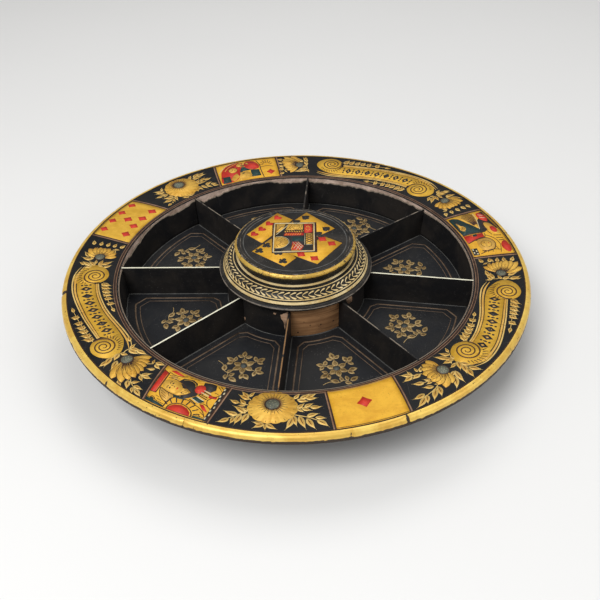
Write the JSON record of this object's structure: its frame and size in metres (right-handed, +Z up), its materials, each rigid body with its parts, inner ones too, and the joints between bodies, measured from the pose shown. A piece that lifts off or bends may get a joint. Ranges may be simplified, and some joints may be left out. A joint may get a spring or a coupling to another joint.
{
  "type": "pope joan board",
  "caption": "Round black-lacquered games tray: gilt-painted rim, compartments round a lidded centre pot, turning on a low foot.",
  "frame": {"origin": "middle of the foot's underside, on the surface it stands on", "axes": "+Z up along the turning axis; the viewer stands on the -Y side"},
  "size_m": [0.4496, 0.4496, 0.0913],
  "materials": {
    "lacquered_wood": "black lacquer with painted gilt ornament",
    "gilt_wood": "worn gilding",
    "bare_wood": "aged bare wood",
    "lacquered_card": "black lacquered card",
    "brass": "dull brass",
    "iron": "oiled iron",
    "baize": "green baize"
  },
  "bodies": {
    "stand": {"foot_baize": "baize", "base_foot": "lacquered_wood", "thrust_washer": "brass", "pivot_screw": "iron"},
    "tray": {"bottom_board": "lacquered_wood", "pivot_bush": "brass", "well_hoop": "lacquered_wood", "rim_board": "lacquered_wood", "edge_moulding": "gilt_wood", "drum_hoop": "bare_wood", "pot_baize": "baize", "divider_1": "lacquered_wood", "divider_2": "lacquered_wood", "divider_3": "lacquered_wood", "divider_4": "lacquered_wood", "divider_5": "lacquered_wood", "divider_6": "lacquered_wood", "divider_7": "lacquered_wood", "divider_8": "lacquered_wood", "floor_panel_1": "lacquered_card", "floor_panel_2": "lacquered_card", "floor_panel_3": "lacquered_card", "floor_panel_4": "lacquered_card", "floor_panel_5": "lacquered_card", "floor_panel_6": "lacquered_card", "floor_panel_7": "lacquered_card", "floor_panel_8": "lacquered_card", "wall_lining_1": "lacquered_card", "wall_lining_2": "lacquered_card", "wall_lining_3": "lacquered_card", "wall_lining_4": "lacquered_card", "wall_lining_5": "lacquered_card", "wall_lining_6": "lacquered_card", "wall_lining_7": "lacquered_card", "wall_lining_8": "lacquered_card", "drum_lining_1": "lacquered_card", "drum_lining_2": "lacquered_card", "drum_lining_3": "lacquered_card", "drum_lining_4": "lacquered_card", "drum_lining_5": "lacquered_card", "drum_lining_7": "lacquered_card", "drum_lining_8": "lacquered_card"},
    "lid": {"lid_turning": "lacquered_wood", "lid_collar": "bare_wood"}
  },
  "joints": [
    {"name": "tray_turn", "type": "hinge", "parent": "stand", "child": "tray", "pos_m": [0, 0, 0.019], "axis": [0, 0, 1], "continuous": true},
    {"name": "lid_lift", "type": "slide", "parent": "tray", "child": "lid", "axis": [0, 0, 1], "range_m": [0, 0.06]}
  ]
}
